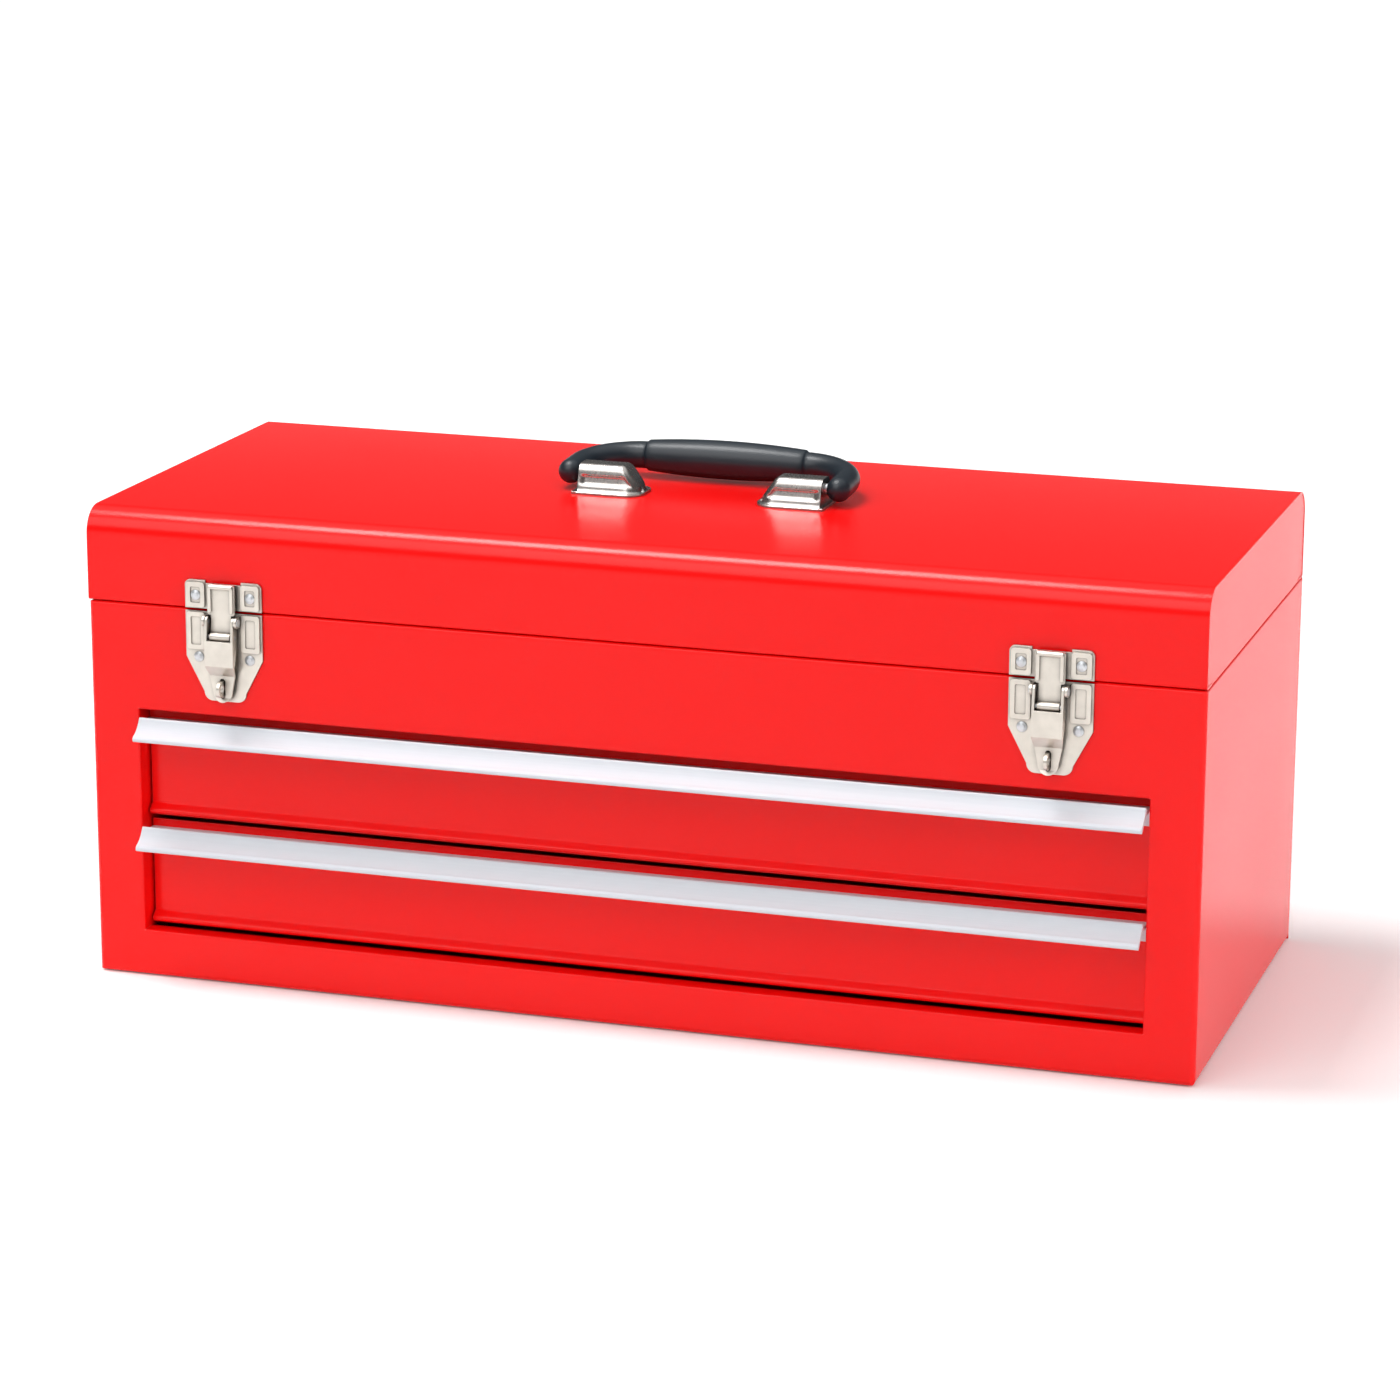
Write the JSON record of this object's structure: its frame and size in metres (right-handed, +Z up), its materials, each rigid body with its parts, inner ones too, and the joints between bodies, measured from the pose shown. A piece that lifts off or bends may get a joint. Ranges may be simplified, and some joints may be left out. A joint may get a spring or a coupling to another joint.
{
  "type": "portable tool box with drawers",
  "caption": "Portable steel tool box: hinged lid over an open compartment, sliding drawers with full-width pulls, draw latches and a folding top handle.",
  "frame": {"origin": "underside, in the middle of the body's width and depth", "axes": "+X along the width to the right as seen from the front, +Y from the front to the back, +Z up"},
  "size_m": [0.508, 0.2398, 0.2349],
  "materials": {
    "red_paint": "gloss powder coat",
    "dark_red_paint": "satin powder coat",
    "zinc_steel": "zinc plated",
    "nickel_plate": "satin nickel plate",
    "chrome_plate": "bright plate",
    "anodised_aluminium": "satin anodised",
    "black_plastic": "fine moulded grain"
  },
  "bodies": {
    "cabinet": {"body_shell": "red_paint", "back_panel": "red_paint", "bottom_panel": "dark_red_paint", "till_floor": "dark_red_paint", "runner_lower_left": "zinc_steel", "runner_lower_right": "zinc_steel", "runner_upper_left": "zinc_steel", "runner_upper_right": "zinc_steel", "hinge_body_leaf": "zinc_steel", "hinge_pin": "zinc_steel", "hinge_body_rivets": "zinc_steel", "latch_base_left": "nickel_plate", "latch_base_right": "nickel_plate", "latch_staple_left": "nickel_plate", "latch_staple_right": "nickel_plate", "latch_base_rivets": "zinc_steel", "lever_pivots": "zinc_steel"},
    "lid": {"lid_wrap": "red_paint", "lid_end_left": "red_paint", "lid_end_right": "red_paint", "hinge_lid_leaf": "zinc_steel", "hinge_lid_rivets": "zinc_steel", "strike_left": "nickel_plate", "strike_right": "nickel_plate", "strike_rivets": "zinc_steel", "handle_bracket_left": "chrome_plate", "handle_bracket_right": "chrome_plate"},
    "handle": {"handle_grip": "black_plastic", "handle_pins": "zinc_steel"},
    "latch_lever_left": {"lever_left": "nickel_plate", "claw_pin_left": "zinc_steel"},
    "latch_lever_right": {"lever_right": "nickel_plate", "claw_pin_right": "zinc_steel"},
    "latch_claw_left": {"claw_left": "nickel_plate"},
    "latch_claw_right": {"claw_right": "nickel_plate"},
    "lower_drawer": {"lower_drawer_tray": "red_paint", "lower_drawer_front": "red_paint", "lower_drawer_pull": "anodised_aluminium", "lower_rail_left": "zinc_steel", "lower_rail_right": "zinc_steel", "lower_pull_screws": "zinc_steel"},
    "upper_drawer": {"upper_drawer_tray": "red_paint", "upper_drawer_front": "red_paint", "upper_drawer_pull": "anodised_aluminium", "upper_rail_left": "zinc_steel", "upper_rail_right": "zinc_steel", "upper_pull_screws": "zinc_steel"}
  },
  "joints": [
    {"name": "lid_hinge", "type": "hinge", "parent": "cabinet", "child": "lid", "pos_m": [0, 0.1119, 0.174], "axis": [-1, 0, 0], "range_deg": [0, 100]},
    {"name": "handle_swing", "type": "hinge", "parent": "lid", "child": "handle", "pos_m": [0, 0, 0.224], "axis": [1, 0, 0], "range_deg": [0, 173]},
    {"name": "lever_left_swing", "type": "hinge", "parent": "cabinet", "child": "latch_lever_left", "pos_m": [-0.188, -0.1138, 0.17], "axis": [-1, 0, 0], "range_deg": [0, 120]},
    {"name": "claw_left_turn", "type": "hinge", "parent": "latch_lever_left", "child": "latch_claw_left", "pos_m": [-0.188, -0.1138, 0.163], "axis": [-1, 0, 0], "range_deg": [-120, 0]},
    {"name": "lever_right_swing", "type": "hinge", "parent": "cabinet", "child": "latch_lever_right", "pos_m": [0.188, -0.1138, 0.17], "axis": [-1, 0, 0], "range_deg": [0, 120]},
    {"name": "claw_right_turn", "type": "hinge", "parent": "latch_lever_right", "child": "latch_claw_right", "pos_m": [0.188, -0.1138, 0.163], "axis": [-1, 0, 0], "range_deg": [-120, 0]},
    {"name": "lower_drawer_slide", "type": "slide", "parent": "cabinet", "child": "lower_drawer", "axis": [0, -1, 0], "range_m": [0, 0.15]},
    {"name": "upper_drawer_slide", "type": "slide", "parent": "cabinet", "child": "upper_drawer", "axis": [0, -1, 0], "range_m": [0, 0.15]}
  ],
  "couplings": [
    {"joint": "claw_left_turn", "follows": "lever_left_swing", "ratio": -1},
    {"joint": "claw_right_turn", "follows": "lever_right_swing", "ratio": -1}
  ]
}
